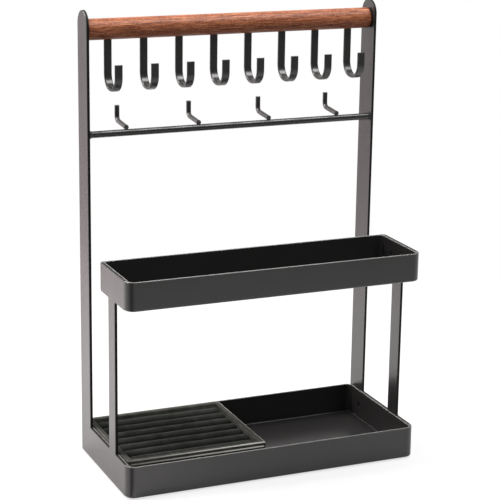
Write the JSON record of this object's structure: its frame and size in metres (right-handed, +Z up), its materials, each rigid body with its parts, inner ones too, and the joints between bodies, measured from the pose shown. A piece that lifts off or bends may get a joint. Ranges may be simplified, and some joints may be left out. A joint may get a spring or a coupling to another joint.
{
  "type": "jewelry organizer",
  "caption": "Black steel jewelry stand with two trays, a wooden bar with strap hooks, a cross rod with wire hooks and a lift-out padded ring box.",
  "frame": {"origin": "on the table under the middle of the stand's overall box", "axes": "+Z up, +Y from the front of the trays to the rear, +X along the bar to the right seen from the front"},
  "size_m": [0.23, 0.1102, 0.3375],
  "materials": {
    "frame": "satin black powder coat",
    "tray": "satin black powder coat",
    "hooks": "satin black powder coat",
    "screws": "black zinc",
    "stud_steel": "plain",
    "bar_wood": "satin lacquer over reddish grain",
    "box_velvet": "short pile velvet",
    "roll_velvet": "short pile velvet over foam",
    "foot_rubber": "matte"
  },
  "bodies": {
    "stand": {"left_side_frame": "frame", "right_side_frame": "frame", "lower_tray": "tray", "upper_tray": "tray", "tray_screws": "screws", "wood_bar": "bar_wood", "left_bar_stud": "stud_steel", "right_bar_stud": "stud_steel", "hook_rod": "hooks", "front_left_foot": "foot_rubber", "front_right_foot": "foot_rubber", "rear_left_foot": "foot_rubber", "rear_right_foot": "foot_rubber", "bar_hook_1": "hooks", "bar_hook_2": "hooks", "bar_hook_3": "hooks", "bar_hook_4": "hooks", "bar_hook_5": "hooks", "bar_hook_6": "hooks", "bar_hook_7": "hooks", "bar_hook_8": "hooks", "rod_hook_1": "hooks", "rod_hook_2": "hooks", "rod_hook_3": "hooks", "rod_hook_4": "hooks"},
    "ring_insert": {"ring_box": "box_velvet", "ring_roll_1": "roll_velvet", "ring_roll_2": "roll_velvet", "ring_roll_3": "roll_velvet", "ring_roll_4": "roll_velvet", "ring_roll_5": "roll_velvet", "ring_roll_6": "roll_velvet", "ring_roll_7": "roll_velvet"}
  },
  "joints": [
    {"name": "ring_box_lift", "type": "slide", "parent": "stand", "child": "ring_insert", "axis": [0, 0, 1], "range_m": [0, 0.06]}
  ]
}
